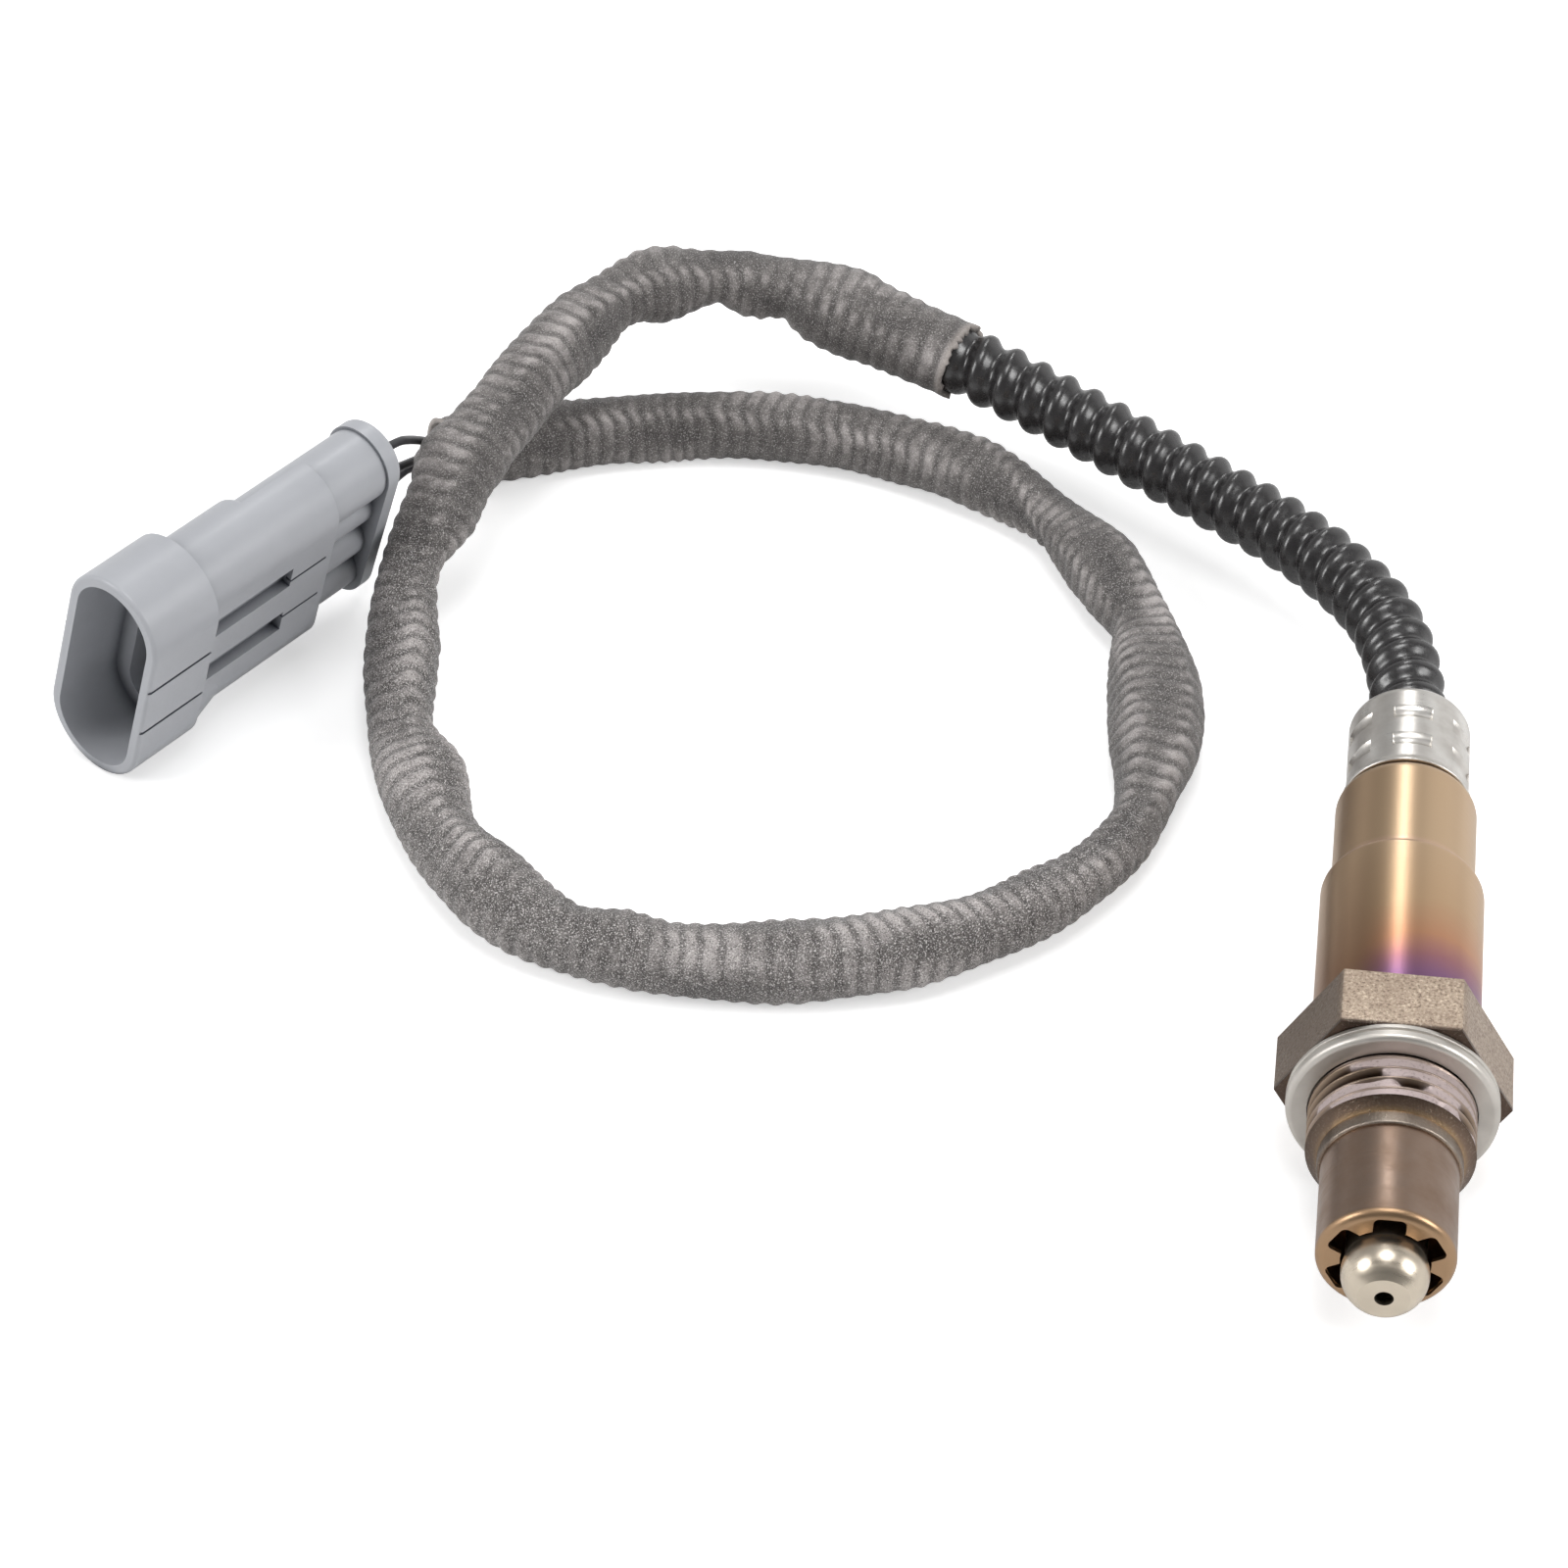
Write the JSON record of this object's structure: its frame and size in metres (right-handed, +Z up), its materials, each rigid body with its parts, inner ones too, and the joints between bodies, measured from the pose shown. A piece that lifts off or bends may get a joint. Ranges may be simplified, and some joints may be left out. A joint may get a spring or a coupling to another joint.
{
  "type": "oxygen sensor",
  "caption": "Screw-in exhaust oxygen sensor with a hexagon body, slotted gas-inlet tip, corrugated conduit, braided sleeve and flat cable plug, lying on a surface.",
  "frame": {"origin": "on the sensor's axis, at the hexagon's front face, where the gasket seats", "axes": "sensing tip to -Y, cable leaves the body towards +Y, +Z up from the surface that it lies on, which is at Z = -11.4 mm"},
  "size_m": [0.1722, 0.1646, 0.0313],
  "materials": {
    "housing_steel": "satin, heat tinted",
    "gasket_steel": "satin",
    "tube_alloy": "satin, heat tinted bronze",
    "dome_alloy": "satin champagne",
    "shell_steel": "polished, heat tinted tan to violet",
    "collar_steel": "bright satin",
    "element_ceramic": "matt",
    "bush_ceramic": "matt",
    "talc": "pressed powder",
    "clamp_steel": "plain",
    "contact_alloy": "bright",
    "grommet_rubber": "matt",
    "conduit_plastic": "glossy black",
    "sleeve_braid": "soft braided glass fibre",
    "wire_insulation": "satin dark grey",
    "plug_plastic": "satin light blue-grey",
    "terminal_tin": "tinned",
    "seal_rubber": "satin"
  },
  "bodies": {
    "root": {"sensor_housing": "housing_steel", "sealing_gasket": "gasket_steel", "outer_protection_tube": "tube_alloy", "inner_protection_tube": "dome_alloy", "sensing_element": "element_ceramic", "lower_ceramic_bush": "bush_ceramic", "talc_seal": "talc", "upper_ceramic_bush": "bush_ceramic", "clamp_ring": "clamp_steel", "protective_shell": "shell_steel", "crimp_collar": "collar_steel", "contact_holder_upper": "bush_ceramic", "contact_holder_lower": "bush_ceramic", "holder_spring_ring": "clamp_steel", "contact_clip_1": "contact_alloy", "contact_clip_2": "contact_alloy", "contact_clip_3": "contact_alloy", "contact_clip_4": "contact_alloy", "rubber_grommet": "grommet_rubber", "corrugated_conduit": "conduit_plastic", "braided_sleeve": "sleeve_braid", "wire_1": "wire_insulation", "wire_2": "wire_insulation", "wire_3": "wire_insulation", "wire_4": "wire_insulation", "connector_housing": "plug_plastic", "terminal_pin_1": "terminal_tin", "terminal_pin_2": "terminal_tin", "terminal_pin_3": "terminal_tin", "terminal_pin_4": "terminal_tin", "wire_seal_1": "seal_rubber", "wire_seal_2": "seal_rubber", "wire_seal_3": "seal_rubber", "wire_seal_4": "seal_rubber"}
  },
  "joints": []
}
